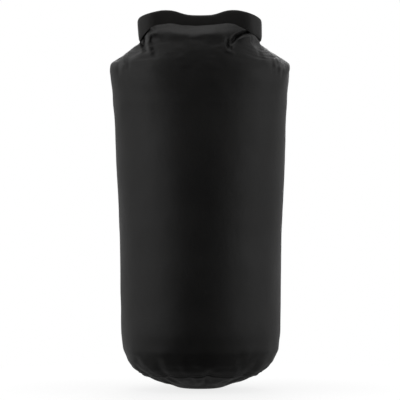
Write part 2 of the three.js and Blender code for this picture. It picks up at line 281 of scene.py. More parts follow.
def finished(piece):
    """Bakes a piece's modifiers into a plain mesh, and removes them."""
    graph = bpy.context.evaluated_depsgraph_get()
    mesh = bpy.data.meshes.new_from_object(
        piece.evaluated_get(graph), preserve_all_data_layers=True, depsgraph=graph
    )
    piece.modifiers.clear()
    old = piece.data
    piece.data = mesh
    mesh.name = piece.name
    bpy.data.meshes.remove(old)
    return piece


def strip_faces(count, columns, closed=False):
    """Quads of a grid of that many rows. A closed grid joins its last row to its first."""
    faces = []
    for k in range(count if closed else count - 1):
        low, high = k * columns, (k + 1) % count * columns
        faces += [(low + j, high + j, high + j + 1, low + j + 1) for j in range(columns - 1)]
    return faces


def thick_strip(name, points, columns, finish, uv_at, thickness, closed=False, turned_over=False):
    """A sheet with a real thickness. uv_at(row, column) gives its place on the cloth, in metres."""
    faces = strip_faces(len(points) // columns, columns, closed)
    if turned_over:
        faces = [(a, d, c, b) for a, b, c, d in faces]
    uv = [uv_at(*divmod(corner, columns)) for face in faces for corner in face]
    piece = make_piece(name, points, faces, finish, uv)
    wall = piece.modifiers.new("wall", "SOLIDIFY")
    wall.thickness = thickness
    wall.offset = 0
    return piece


def lerp(a, b, t):
    return a + (b - a) * t


def smooth_step(x, low, high):
    t = np.clip((x - low) / (high - low), 0, 1)
    return t * t * (3 - 2 * t)


# %% [markdown]
# ## The route of the roll
# Flattened and rolled, the mouth is a band as long as half the bag's girth. Its middle runs straight
# across the front. Each end turns a corner, runs back along an arm, and turns again to meet the buckle.
# One function gives the heading along the band. Scaling that heading bends the band less, and this is used
# below to lead the round tube up to the bent band without a crossing.

# %% Route
ROLL_THICK = 9 * MM
ROLL_HEIGHT = 34 * MM
CORNER_R = 25 * MM
CORNER_TURN = math.radians(127)
ARM_STRAIGHT = 43 * MM
TIP_R = 20 * MM
TIP_STRAIGHT = 8 * MM
MIDDLE_SAG = 7 * MM
SAG_REACH = 32 * MM
DROP_FROM, DROP_TO = 50 * MM, 105 * MM  # where the top edge comes down to the level of the arms

front_low, front_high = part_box("collar_front")
_, tip_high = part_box("collar_right_tip")
FRONT_Y = front_low.y + ROLL_THICK / 2
FRONT_STRAIGHT = front_high.x - ROLL_THICK / 2 - CORNER_R
ROLL_TOP = front_high.z + 0.8 * MM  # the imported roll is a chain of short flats, a little inside the curve
ARM_DROP = ROLL_TOP - tip_high.z
BENDS = np.cumsum(
    [FRONT_STRAIGHT, CORNER_R * CORNER_TURN, ARM_STRAIGHT, TIP_R * (math.pi - CORNER_TURN), TIP_STRAIGHT]
)
ROLL_HALF = BENDS[-1]
FINE = np.linspace(0, 1, 801)


def heading(along):
    """Heading, in radians, at a share of the band's half length, when it is fully bent."""
    return np.interp(along * ROLL_HALF, [0, *BENDS], [0, 0, CORNER_TURN, CORNER_TURN, math.pi, math.pi])


def centreline(along, bent, half):
    """Points and headings of a band of that half length. bent is 0 for a straight band, 1 for the roll."""
    turn = bent * heading(FINE)
    step = half / (len(FINE) - 1)
    x = np.concatenate([[0], np.cumsum(np.cos(turn[1:] / 2 + turn[:-1] / 2) * step)])
    y = np.concatenate([[0], np.cumsum(np.sin(turn[1:] / 2 + turn[:-1] / 2) * step)])
    side = np.sign(along)
    away = np.abs(along)
    return side * np.interp(away, FINE, x), np.interp(away, FINE, y), side * np.interp(away, FINE, turn)


def roll_top(distance):
    away = np.abs(distance)
    drop = ARM_DROP * smooth_step(away, DROP_FROM, DROP_TO)
    return ROLL_TOP - MIDDLE_SAG * np.exp(-((away / SAG_REACH) ** 4)) - drop


print("half length of the roll, mm:", round(ROLL_HALF / MM), "tip y:", round(float(tip_high.y) / MM, 1))

# %% [markdown]
# ## The body of the bag
# The body is one tube of cloth, gathered into a smaller base seam and squeezed flat into the roll. It
# could be a plain lathe, but then it would have none of the puckers and pleats of a stuffed bag. So it
# starts as a smooth shape whose cloth is a little too large for it round the base seam and the shoulder.
# A short cloth simulation with some air pressure inside lets that spare cloth find its own folds.

# %% Shape of the filled bag
_, tube_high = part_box("body_tube")
SHOULDER_HALF = tube_high.x
SHOULDER_Z = 461 * MM
TUBE_LOW_R = 113.5 * MM
TUBE_HIGH_R = 116.5 * MM
TUBE_START_Z = 62 * MM
SEAM_R = 92 * MM
SEAM_Z = 24 * MM
FOOT_R = 38 * MM
FIRST_FOOT_R = 12 * MM  # the innermost ring of the net
AROUND = 168  # points round the cloth
CREST = 31 * MM  # how far the front shoulder stands up
CREST_REACH = 78 * MM
FORWARD = 9 * MM  # and how far it bulges forward
NECK_GAP = 0.8 * MM  # between the cloth of the neck and the faces of the roll
NECK_HIDDEN = 1.5 * MM  # how far the neck runs up into the roll
angles = np.arange(AROUND) / AROUND * 2 * math.pi


def tube_ring(z):
    if z < TUBE_START_Z:
        rise = (z - SEAM_Z) / (TUBE_START_Z - SEAM_Z)
        half_x = half_y = lerp(SEAM_R, TUBE_LOW_R, 1 - (1 - rise) ** 1.8)
    else:
        rise = (z - TUBE_START_Z) / (SHOULDER_Z - TUBE_START_Z)
        half_x = lerp(TUBE_LOW_R, SHOULDER_HALF, rise**1.8)
        half_y = math.sqrt(2 * lerp(TUBE_LOW_R, TUBE_HIGH_R, rise) ** 2 - half_x**2)
    return np.stack([half_x * np.cos(angles), half_y * np.sin(angles), np.full(AROUND, z)], axis=1)


def foot_ring(radius):
    z = SEAM_Z * (max(0, radius - FOOT_R) / (SEAM_R - FOOT_R)) ** 1.25
    return np.stack([radius * np.cos(angles), radius * np.sin(angles), np.full(AROUND, z)], axis=1)


def shoulder_ring(share):
    """A ring between the top of the tube (share 0) and the underside of the roll (share 1)."""
    half_y = abs(tube_ring(SHOULDER_Z)[:, 1]).max()
    from_side = np.arcsin(np.abs(np.sin(angles)))
    away = lerp(np.abs(np.cos(angles)), 1 - from_side / (math.pi / 2), share)
    along = away * np.sign(np.cos(angles) + 1e-12)
    x, y, turn = centreline(along, share**0.85, lerp(SHOULDER_HALF, ROLL_HALF, share**1.2))
    flat = np.minimum(1, 3 * np.sin(from_side))
    across = lerp(half_y * np.sin(from_side), (ROLL_THICK / 2 - NECK_GAP) * flat, share)
    across = across * np.sign(np.sin(angles))
    x = x - across * np.sin(turn)
    y = y + lerp(0, FRONT_Y, share) + across * np.cos(turn)
    rim = roll_top(along * ROLL_HALF) - ROLL_HEIGHT + NECK_HIDDEN
    front = np.sin(angles) < 0
    z = lerp(SHOULDER_Z, rim, np.where(front, share, share**1.35))
    facing = np.where(front, np.sin(from_side) ** 0.5, 0)
    crest = CREST * facing * np.exp(-((np.abs(x) / CREST_REACH) ** 5))
    z = z + crest * math.sin(math.pi * share**3.1)
    y = y - FORWARD * facing * math.sin(math.pi * share**1.4)
    return np.stack([x, y, z], axis=1)


foot_radii = [FIRST_FOOT_R, 20 * MM, 29 * MM, FOOT_R, *np.linspace(FOOT_R, SEAM_R, 12)[1:]]
low_heights = list(np.linspace(SEAM_Z, TUBE_START_Z, 9)[1:])
tube_heights = list(np.linspace(TUBE_START_Z, SHOULDER_Z, 58)[1:])
shoulder_shares = list(1 - (1 - np.linspace(0, 1, 31)[1:]) ** 1.2)
rings = [foot_ring(r) for r in foot_radii]
SEAM_ROW = len(rings) - 1
rings += [tube_ring(z) for z in low_heights + tube_heights]
SHOULDER_ROW = len(rings) - 1
rings += [shoulder_ring(t) for t in shoulder_shares]
ROWS = len(rings)


def rounded(net):
    """Takes the crease out of the shoulder: most at the front and back, least at the sides."""
    facing = np.abs(np.sin(angles))[None, :, None] ** 1.5
    above = np.arange(ROWS)[:, None, None] - SHOULDER_ROW
    near = smooth_step(above, -15, -3) * (1 - smooth_step(above, 8, 16))
    for _ in range(60):
        middle = net.copy()
        middle[1:-1] = (net[:-2] + net[2:]) / 2
        net = net + near * lerp(0.12, 0.9, facing) * 0.7 * (middle - net)
    return net


body_points = rounded(np.stack(rings)).reshape(-1, 3)
print("rows:", ROWS, "points:", len(body_points), "seam at row", SEAM_ROW, "shoulder at row", SHOULDER_ROW)


# %% Faces of the body
def ring_faces(first, last, columns):
    """Quads between the rings first to last, facing outwards for rings that go anticlockwise and rise."""
    faces = []
    for low in range(first * columns, last * columns, columns):
        for i in range(columns):
            j = (i + 1) % columns
            faces.append((low + i, low + j, low + columns + j, low + columns + i))
    return faces


body_faces = ring_faces(0, ROWS - 1, AROUND)
print("faces:", len(body_faces))


# %% Settle the cloth
MOST_SPARE = 0.2
BASE_SPARE = 0.115
SHOULDER_SPARE = (0.004, 0.045)  # at the front and back, and at the sides
rows_of_points = np.repeat(np.arange(ROWS), AROUND)


def spare_cloth():
    """By how much the cloth at each point is larger than the smooth shape."""
    row = rows_of_points
    at_base = BASE_SPARE * np.exp(-(((row - SEAM_ROW) / 6.0) ** 2))
    side = np.abs(np.cos(angles))[np.arange(len(row)) % AROUND]
    near = smooth_step(row, SHOULDER_ROW - 16, SHOULDER_ROW) * (1 - smooth_step(row, ROWS - 9, ROWS - 2))
    return at_base + near * lerp(*SHOULDER_SPARE, side**2) + 0.003


def uneven(points, size=0.35 * MM, seed=7):
    """Moves each point in or out a little, so that the folds have somewhere to start."""
    bumps = np.random.default_rng(seed).normal(0, 1, (ROWS, AROUND))
    for _ in range(2):
        bumps = (bumps + np.roll(bumps, 1, 1) + np.roll(bumps, -1, 1)) / 3
    bumps = bumps.ravel() / bumps.std() * size
    bumps *= smooth_step(rows_of_points, 8, 12) * (1 - smooth_step(rows_of_points, ROWS - 6, ROWS - 3))
    outward = points * [1, 1, 0]
    outward /= np.maximum(1e-6, np.linalg.norm(outward, axis=1))[:, None]
    return points + outward * bumps[:, None]


def weigh(net, name, weights):
    group = net.vertex_groups.new(name=name)
    for index, weight in enumerate(weights):
        group.add([index], float(weight), "REPLACE")


def settle(points, faces, steps=26):
    mesh = bpy.data.meshes.new("settling")
    mesh.from_pydata(uneven(points).tolist(), [], faces)
    net = in_scene("settling", mesh)
    held_foot = 1 - smooth_step(rows_of_points, 4, 9)
    held_neck = smooth_step(rows_of_points, ROWS - 6, ROWS - 1)
    weigh(net, "held", np.maximum(held_foot, held_neck))
    weigh(net, "true_to_shape", 1 - spare_cloth() / MOST_SPARE)
    cloth = net.modifiers.new("cloth", "CLOTH")
    given = cloth.settings
    given.quality = 6
    given.mass = 0.12
    given.tension_stiffness = given.compression_stiffness = 28
    given.shear_stiffness = 9
    given.bending_stiffness = 0.06
    given.tension_damping = given.compression_damping = given.shear_damping = 6
    given.air_damping = 2.5
    given.vertex_group_mass = "held"
    given.vertex_group_shrink = "true_to_shape"
    given.shrink_min = -MOST_SPARE
    given.shrink_max = 0
    given.use_pressure = True
    given.uniform_pressure_force = 3
    given.effector_weights.gravity = 0
    cloth.collision_settings.use_collision = False
    cloth.collision_settings.use_self_collision = False
    scene = bpy.context.scene
    for frame_number in range(1, steps + 1):
        scene.frame_set(frame_number)
    evaluated = net.evaluated_get(bpy.context.evaluated_depsgraph_get())
    settled = np.empty(len(points) * 3, np.float32)
    evaluated.data.vertices.foreach_get("co", settled)
    scene.frame_set(1)
    bpy.data.objects.remove(net)
    return settled.reshape(-1, 3).astype(float)


settled = settle(body_points, body_faces)
moved = np.linalg.norm(settled - body_points, axis=1)
print("settled; points moved, mm: mean", round(moved.mean() / MM, 2), "most", round(moved.max() / MM, 2))

# %% [markdown]
# ## Fit and crest
# Pressure makes cloth swell a little past its pattern, so the settled net is drawn in or out to the half
# widths that the filled bag has at each height. Over the front shoulder the cloth stands up in a lip
# before it goes into the roll. That lip has two low lobes and a dip between them, so its top is laid
# along one line.

# %% Fit to width
# Pairs of height and half width, from the foot up to the neck.
OUTLINE = [(0, 42), (4, 51), (10, 65), (16, 76), (27, 95), (39, 104), (48, 108), (56, 112), (81, 115),
           (220, 116.5), (325, 121.5), (394, 124.5), (429, 127), (455, 130.5), (463, 131.5), (472, 127.5),
           (480, 118), (489, 106), (498, 94), (505, 87.5)]
# Pairs of place and height along the top of the lip, from left to right.
LIP = [(-98, 493), (-88, 503), (-82, 509), (-76, 516), (-71, 520), (-61, 523), (-44, 524), (-16, 521),
       (-3, 520.3), (22, 522.5), (39, 524), (50, 523), (58, 519.5), (67, 516), (77, 510.5), (85, 504.5),
       (94, 495)]
HEIGHTS, HALF_WIDTHS = np.array(OUTLINE).T * MM
CREST_X, CREST_Z = np.array(LIP).T * MM
RIGHT_FULLER = 1.014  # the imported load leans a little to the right


def measured_along(place, height, levels, reach):
    """The greatest height among the points near each level, smoothed."""
    found = np.array([height[np.abs(place - level) < reach].max(initial=0) for level in levels])
    padded = np.pad(found, 2, mode="edge")
    return np.convolve(padded, [0.1, 0.2, 0.4, 0.2, 0.1], "valid")


def drawn_to_width(points):
    x, y, z = points.T
    levels = np.linspace(0, HEIGHTS[-1], 90)
    ratio = np.interp(levels, HEIGHTS, HALF_WIDTHS) / measured_along(z, np.abs(x), levels, 3.5 * MM)
    ratio = lerp(np.interp(z, levels, ratio), 1, smooth_step(z, 498 * MM, 508 * MM))
    lean = np.where(x > 0, lerp(RIGHT_FULLER, 1, smooth_step(z, 300 * MM, 430 * MM)), 1)
    return np.stack([x * ratio * lean, y * lerp(ratio, 1, smooth_step(z, 400 * MM, 450 * MM)), z], axis=1)


def laid_on_crest(points):
    x, y, z = points.T
    front = np.tile(np.sin(angles) < -0.02, ROWS)
    levels = np.linspace(-100, 100, 81) * MM
    now = measured_along(x[front], z[front], levels, 4 * MM)
    top = np.interp(x, levels, now)
    wanted = np.interp(x, CREST_X, CREST_Z)
    rise = np.where(front, (wanted - top) * smooth_step(z, 468 * MM, top - 4 * MM), 0)
    rise *= 1 - smooth_step(np.abs(x), 88 * MM, 100 * MM)
    return np.stack([x, y, z + rise], axis=1)


def eased(points):
    """Takes out the finest crinkles of the simulated net, most in the plain tube."""
    grid = points.reshape(ROWS, AROUND, 3).copy()
    row = np.arange(ROWS)[:, None, None]
    below_shoulder = 1 - smooth_step(row, SHOULDER_ROW - 8, SHOULDER_ROW + 2)
    plain = smooth_step(row, SEAM_ROW + 5, SEAM_ROW + 14) * below_shoulder
    share = lerp(0.28, 0.85, plain) * (1 - smooth_step(row, ROWS - 8, ROWS - 2))
    for _ in range(5):
        around = (np.roll(grid, 1, 1) + np.roll(grid, -1, 1)) / 2
        up = grid.copy()
        up[1:-1] = (grid[:-2] + grid[2:]) / 2
        grid += share * ((around + up) / 2 - grid)
    return grid.reshape(-1, 3)


net = laid_on_crest(drawn_to_width(eased(settled))).reshape(ROWS, AROUND, 3)
print("half width at the shoulder, mm:", round(np.abs(net[..., 0]).max() / MM, 1))

# %% [markdown]
# ## A finer net, and the sharp folds
# The folds where the roll's ends pinch the cloth are only two or three millimetres wide, finer than the
# simulated net. So the net is filled in with smooth curves between its points, most closely where the
# folds are. Each fold is then a line on the front of the bag, along which the cloth is pressed in or
# drawn out. Most are a few millimetres deep, and the slit at each side of the neck is deeper.


# %% Finer net
def filled_in(grid, places, closed):
    """A grid's values at places between its rows, on smooth curves through them."""
    count = len(grid)
    low = np.floor(places).astype(int)
    t = (places - low)[:, None, None]

    def row(index):
        return grid[index % count] if closed else grid[np.clip(index, 0, count - 1)]

    a, b, c, d = row(low - 1), row(low), row(low + 1), row(low + 2)
    return b + 0.5 * t * (c - a + t * (2 * a - 5 * b + 4 * c - d + t * (3 * (b - c) + d - a)))


def spread(*stretches):
    """Places along rows or columns. Each stretch is its first place, its last place and how many."""
    return np.concatenate([np.linspace(*stretch, endpoint=False) for stretch in stretches])


GATHERS_END, PLEATS_START = SEAM_ROW + 10, SHOULDER_ROW - 11
half_way = spread((0, 14, 18), (14, 70, 164), (70, AROUND / 2, 18))
COLUMNS = np.concatenate([half_way, half_way + AROUND / 2])
gathers = (SEAM_ROW, GATHERS_END, 30)
plain_tube = (GATHERS_END, PLEATS_START, 64)
pleats = (PLEATS_START, SHOULDER_ROW, 32)
shoulder = (SHOULDER_ROW, ROWS - 1, 88)
TUBE_ROWS = np.append(spread(gathers, plain_tube, pleats, shoulder), ROWS - 1)
BASE_ROWS = np.linspace(0, SEAM_ROW, 29)


def fine_net(rows):
    across = filled_in(net, rows, False).transpose(1, 0, 2)
    return filled_in(across, COLUMNS, True).transpose(1, 0, 2)


def outward_normals(grid):
    """Directions out of a closed net of rings."""
    around = np.roll(grid, -1, 1) - np.roll(grid, 1, 1)
    cross = np.cross(around, np.gradient(grid, axis=0))
    return cross / np.maximum(1e-12, np.linalg.norm(cross, axis=2))[:, :, None]


tube_net, base_net = fine_net(TUBE_ROWS), fine_net(BASE_ROWS)
print("fine net:", tube_net.shape[:2], "and", base_net.shape[:2])

# %% Sharp folds
# Each fold: how far back (-) or forward (+), its half width, and its line as seen from the front, in mm.
FOLDS = [
    (2.5, 24.0, [(-58, 498), (58, 498)]),
    (4.2, 8.0, [(-64, 514), (60, 514)]),
    (-21.0, 3.3, [(-71, 518.5), (-78, 517.5), (-83.5, 511), (-83, 501), (-79, 489)]),
    (6.5, 3.4, [(-68, 513), (-74.5, 510), (-75, 500), (-70, 487)]),
    (-2.2, 2.6, [(-71, 500), (-68, 488), (-65, 478)]),
    (-13.0, 2.6, [(46, 501), (52, 508.5), (61, 514), (73, 516.5), (81, 513), (87, 505)]),
    (3.4, 7.0, [(66, 504), (76, 505), (83, 500)]),
    (-5.4, 2.1, [(40, 503), (39.5, 497), (41.5, 491)]),
    (2.4, 2.6, [(34.5, 508), (35, 498), (39, 489), (48, 485)]),
    (2.4, 2.6, [(47, 499), (46, 493)]),
    (-3.4, 2.3, [(84, 492), (86, 486), (89, 479)]),
    (1.8, 3.4, [(91, 493), (93, 483), (95, 473)]),
    (-2.6, 2.5, [(101, 487), (105, 473), (106, 458)]),
    (-2.6, 2.3, [(109, 479), (113, 468), (113, 455)]),
    (-2.6, 2.0, [(117, 473), (120, 463), (119, 452)]),
    (-4.0, 2.8, [(-117, 479), (-119, 468), (-118, 455)]),
    (2.6, 2.8, [(-108, 489), (-111, 478), (-112, 464)]),
    (-2.4, 2.6, [(-101, 489), (-104, 474), (-104, 462)]),
]


def distance_to_line(x, z, line):
    """How far points are from a line of straight stretches, and how far along it they lie, from 0 to 1."""
    best, along = np.full(x.shape, np.inf), np.zeros(x.shape)
    stretches = list(zip(line[:-1], line[1:]))
    for k, ((x0, z0), (x1, z1)) in enumerate(stretches):
        t = np.clip(((x - x0) * (x1 - x0) + (z - z0) * (z1 - z0)) / ((x1 - x0) ** 2 + (z1 - z0) ** 2), 0, 1)
        gap = np.hypot(x - lerp(x0, x1, t), z - lerp(z0, z1, t))
        nearer = gap < best
        best, along = np.where(nearer, gap, best), np.where(nearer, (k + t) / len(stretches), along)
    return best, along


def folded(grid):
    outward = outward_normals(grid)
    nearness = CAMERA_AWAY / (CAMERA_AWAY + grid[..., 1])
    x = grid[..., 0] * nearness / MM
    z = (centre_z + (grid[..., 2] - centre_z) * nearness) / MM
    front = smooth_step(-outward[..., 1], 0.0, 0.16) * (grid[..., 1] < 0)
    push = np.zeros(x.shape)
    for depth, half_width, line in FOLDS:
        gap, along = distance_to_line(x, z, line)
        taper = np.sin(np.pi * np.clip(along, 0.06, 0.94)) ** 0.45
        push += depth * taper * np.exp(-((gap / half_width) ** 2))
    return grid + np.array([0, -1, 0]) * (push * front * MM)[..., None]


tube_net = folded(tube_net)
print("folds pressed in:", len(FOLDS))

# %% Body and base
BACK_COLUMN = AROUND // 4
girth = 2 * math.pi * TUBE_HIGH_R
steps_up_back = np.linalg.norm(np.diff(net[:, BACK_COLUMN], axis=0), axis=1)
lengths = np.concatenate([[0], np.cumsum(steps_up_back)])


def closing_faces(columns):
    """Faces that close the first ring flat, from side to side, and look down."""
    faces = []
    for i in range(columns // 2):
        corners = dict.fromkeys([i, i + 1, columns - i - 1, (columns - i) % columns])
        faces.append(list(corners)[::-1])
    return [face for face in faces if len(face) > 2]


def cloth_piece(name, grid, rows, closed=False):
    """A piece of the bag's cloth from a net of rings, with metres round and along the cloth as its UV."""
    count, columns = grid.shape[:2]
    faces = ring_faces(0, count - 1, columns)
    if closed:
        faces += closing_faces(columns)
    along = np.interp(rows, np.arange(ROWS), lengths)
    across = np.append(COLUMNS, AROUND) / AROUND * girth
    uv = []
    for face in faces:
        last_column = max(corner % columns for corner in face) == columns - 1
        for corner in face:
            row, column = divmod(corner, columns)
            uv.append((across[columns if last_column and column == 0 else column], along[row]))
    return make_piece(name, grid.reshape(-1, 3), faces, body_cloth, uv)


body = cloth_piece("bag_body", tube_net, TUBE_ROWS)
base = cloth_piece("bag_base", base_net, BASE_ROWS, closed=True)
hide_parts("body_tube", "side_seam_tape")
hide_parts("base_panel", "base_seam_tape")


def drawn_up_by_handle(piece):
    """Bakes a piece's place into its mesh. The piece is not fixed to a body, so it is not drawn up when the
    handle lifts.
    """
    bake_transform(piece)


drawn_up_by_handle(body)
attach(base, "bag")
print("body:", len(body.data.polygons), "faces; base:", len(base.data.polygons))

# %% [markdown]
# ## The rolled collar
# Above the shoulder the same cloth is rolled over its stiffened lip. Cut across, a roll is a flattened
# spiral, and its layers show at the ends, where the webbing comes out. So the collar is made as a real
# spiral sheet, led along the route of the closure. The cloth puckers on the inside of each corner, and
# the layers are never quite even, which a little smooth noise gives. The roll is given a paler colour
# than the rest. It is one cloth, and its right tip, which moves with the buckle on the real bag, is made
# as a piece of its own, though here the tip is not fixed to a body.

# %% Rolled collar
TURNS = 3.4
LAYER_GAP = 1.0 * MM
SECTION_POINTS = 84
TIP_CUT = 137 * MM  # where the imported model's right arm ends and its tip starts, along the route
LEFT_LEAN, LEAN_AT = -2.6 * MM, -80 * MM  # the top edge leans in at the left corner
# The roll's cloth is a paler copy of the body's cloth: level 0.018 against 0.0095.
rolled_cloth = cloth_finish("handled_coated_nylon", level=0.018)


def rolled_section():
    """Places in the roll's section: across and up from its middle, and the length of cloth to there."""
    turn = np.linspace(0, TURNS * 2 * math.pi, SECTION_POINTS)
    inward = turn / (2 * math.pi) * LAYER_GAP
    start = -math.pi / 2
    c, si = np.cos(start - turn), np.sin(start - turn)
    across = -(ROLL_THICK / 2 - 0.3 * MM - inward) * np.sign(c) * np.abs(c) ** 0.62
    up = (ROLL_HEIGHT / 2 - 0.3 * MM - inward * 1.5) * np.sign(si) * np.abs(si) ** 0.45
    cloth_length = np.concatenate([[0], np.cumsum(np.hypot(np.diff(across), np.diff(up)))])
    return across, up, cloth_length


def soft_noise(x, y, z, size):
    return noise.noise(Vector((x, y, z)) / size)


def beside_route(x, y, turn, offset):
    """A place at a distance to the left of a point of the route, in X and Y."""
    return x - offset * math.sin(turn), FRONT_Y + y + offset * math.cos(turn)


def rolled_piece(name, first, last, step=1.9 * MM):
    across, up, cloth_length = rolled_section()
    stations = np.linspace(first, last, max(2, round((last - first) / step)))
    x, y, turn = centreline(stations / ROLL_HALF, 1.0, ROLL_HALF)
    points = []
    for k, s in enumerate(stations):
        bend = abs(math.sin(min(abs(turn[k]), math.pi)))
        away = abs(s)
        loose = float(smooth_step(away, ROLL_HALF - 45 * MM, ROLL_HALF))
        middle_z = float(roll_top(s)) - ROLL_HEIGHT / 2
        for j in range(SECTION_POINTS):
            outer = 1 - min(1, j / (SECTION_POINTS / TURNS))
            depth = 0.45 + 0.55 * outer
            wave = soft_noise(s, up[j] * 0.5, j * 0.0006, 0.019) * 1.0 * MM
            fine_wave = soft_noise(s * 1.2, up[j], 0.3 + j * 0.0004, 0.0065) * 0.45 * MM
            inside = 1 if across[j] > 0 else 0.25
            pucker = inside * bend * math.sin(s / (1.9 * MM) + 2 * math.sin(up[j] / (6 * MM))) * 0.55 * MM
            slack = 1 + 0.10 * loose * math.sin(j * 0.9)
            lean = LEFT_LEAN * math.exp(-(((s - LEAN_AT) / (22 * MM)) ** 2)) * up[j] / (ROLL_HEIGHT / 2)
            offset = across[j] * slack + (wave + fine_wave + pucker) * depth + lean
            h = up[j] * (1 - 0.05 * loose) + soft_noise(s, 0.5, j * 0.001, 0.03) * 0.9 * MM * depth
            points.append((*beside_route(x[k], y[k], turn[k], offset), middle_z + h))

    def uv_at(k, j):
        return stations[k], cloth_length[j]

    piece = finished(thick_strip(name, points, SECTION_POINTS, rolled_cloth, uv_at, 0.35 * MM))
    piece.data.set_sharp_from_angle(angle=math.radians(55))
    return piece


def on_route(distance):
    x, y, _ = centreline(np.array(distance / ROLL_HALF), 1.0, ROLL_HALF)
    return Vector((float(x), FRONT_Y + float(y), 0))


collar = rolled_piece("rolled_collar", -ROLL_HALF, TIP_CUT)
collar_tip = rolled_piece("rolled_collar_tip", TIP_CUT, ROLL_HALF)
runs = ("front", "left", "right")
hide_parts(*("collar_" + run for run in runs), *("stiffener_" + run for run in runs))
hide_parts("collar_right_tip")
cut = on_route(TIP_CUT)
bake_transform(collar)
on_route(ROLL_HALF - 6 * MM)
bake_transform(collar_tip)

# %% [markdown]
# ## The gussets under the arms
# Under each arm the sides of the tube fold flat and run up into the roll. At rest this fold hides the
# cloth inside it. When the arms are lifted, that cloth is drawn out, so each side has a ribbon of it that
# hangs from the roll into the fold. Here the ribbon is made at rest and is not fixed to a body.


# %% Gussets
GUSSET_FROM, GUSSET_TO = 84 * MM, 150 * MM
GUSSET_DROP = 13 * MM
GUSSET_TUCK = 4 * MM  # how far it runs up into the roll


def gusset(name, side):
    stations = np.linspace(GUSSET_FROM, GUSSET_TO, 40) * side
    drops = np.linspace(-GUSSET_TUCK, GUSSET_DROP, 12)
    x, y, turn = centreline(stations / ROLL_HALF, 1.0, ROLL_HALF)
    points = []
    for k, s in enumerate(stations):
        for drop in drops:
            wave = 0.8 * MM * math.sin(s / (5 * MM)) * max(0, drop / GUSSET_DROP)
            z = float(roll_top(s)) - ROLL_HEIGHT - drop
            points.append((*beside_route(x[k], y[k], turn[k], wave), z))

    def uv_at(k, j):
        return stations[k], drops[j]

    piece = finished(thick_strip(name, points, len(drops), body_cloth, uv_at, 0.4 * MM, turned_over=True))
    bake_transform(piece)
    return piece


gussets = [gusset("gusset_left", -1), gusset("gusset_right", 1)]
print("gussets:", [g.name for g in gussets])

# %% [markdown]
# ## Webbing, buckle and thread
# Each end of the lip carries a short tab of ribbed webbing, folded round the bar of its buckle half and
# held by a dense row of thread. The buckle is moulded acetal. Its female half is a flat housing with two
# side windows; the male half has a guide and two sprung prongs whose buttons sit in the windows.


# %% Webbing, plastic and thread finishes
def webbing_finish():
    web = new_finish("black_webbing", Specular_IOR_Level=0.35, Sheen_Weight=0.08, Sheen_Roughness=0.5)
    across, along, _ = web.parts(web.place("UV"))
    rib = web.math("SINE", along * (2 * math.pi / (1.5 * MM)))
    yarn = web.math("SINE", across * (2 * math.pi / (1.1 * MM)) + rib * 1.3)
    tone = web.within(web.noise(web.place(), 120, 3, 0.6), 0.3, 0.7)
    colour = web.blend(tone, grey(0.009), grey(0.02))
    relief = web.bump(yarn * 0.6 + rib * 0.5, 0.25 * MM, 0.8)
    return web.finish(Base_Color=colour, Roughness=tone * 0.12 + 0.62, Normal=relief)


def plastic_finish():
    plastic = new_finish("black_acetal", Specular_IOR_Level=0.45)
    place = plastic.place()
    cloud = plastic.noise(place, 60, 3, 0.6)
    wear = plastic.within(plastic.noise(place, 420, 2, 0.7), 0.62, 0.8)
    colour = plastic.blend(cloud, grey(0.007), grey(0.014))
    colour = plastic.blend(wear * 0.3, colour, grey(0.04))
    rough = plastic.within(cloud, 0.3, 0.7, 0.36, 0.46) + wear * 0.1
    relief = plastic.bump(plastic.noise(place, 2600, 2, 0.6), 0.06 * MM, 0.5)
    return plastic.finish(Base_Color=colour, Roughness=rough, Normal=relief)


def thread_finish():
    spun = new_finish("black_thread", Specular_IOR_Level=0.5)
    twist = spun.noise(spun.stretched(spun.place(), (1, 1, 3)), 1800, 2, 0.5)
    colour = spun.blend(twist, grey(0.012), grey(0.035))
    relief = spun.bump(twist, 0.1 * MM, 0.6)
    return spun.finish(Base_Color=colour, Roughness=twist * 0.2 + 0.45, Normal=relief)


webbing, acetal, thread = webbing_finish(), plastic_finish(), thread_finish()
print("finishes:", [m.name for m in (webbing, acetal, thread)])

# %% Solids from outlines
female_low, female_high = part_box("buckle_female")
male_low, male_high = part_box("buckle_male")
BUCKLE = Vector((0, (female_low.y + female_high.y) / 2, (female_low.z + female_high.z) / 2))
HALF_LENGTH = male_high.x
HALF_HIGH = (female_high.z - female_low.z) / 2
FEMALE_THICK = female_high.y - female_low.y
MALE_THICK = male_high.y - male_low.y
MOUTH_X = female_high.x
BAR_THICK = 4 * MM
WALL = 1.5 * MM
CLEAR = 0.3 * MM  # between mouldings that move in each other
PROUD = 2 * MM  # how far a cutter reaches past the face that it opens


def arc(x, z, radius, start, end, count=8):
    """Points on an arc, with angles in degrees."""
    turn = [math.radians(lerp(start, end, i / count)) for i in range(count + 1)]
    return [(x + radius * math.cos(a), z + radius * math.sin(a)) for a in turn]


def rounded_outline(low_x, high_x, half_z, radius):
    """A rectangle with round corners, drawn anticlockwise from its right side."""
    outline = []
    for quarter_turn, (x, z) in enumerate([(1, 1), (-1, 1), (-1, -1), (1, -1)]):
        corner_x = high_x - radius if x > 0 else low_x + radius
        start = 90 * quarter_turn
        outline += arc(corner_x, z * (half_z - radius), radius, start, start + 90)
    return outline


def box_outline(x, z):
    return [(x[0], z[0]), (x[1], z[0]), (x[1], z[1]), (x[0], z[1])]


def either_side(half):
    """Two depths in Y, the same distance either side of the middle."""
    return -half, half


def on_face(side, low, high):
    """A stretch from low to high on one side of the middle, where side is -1 or 1."""
    return sorted((side * low, side * high))


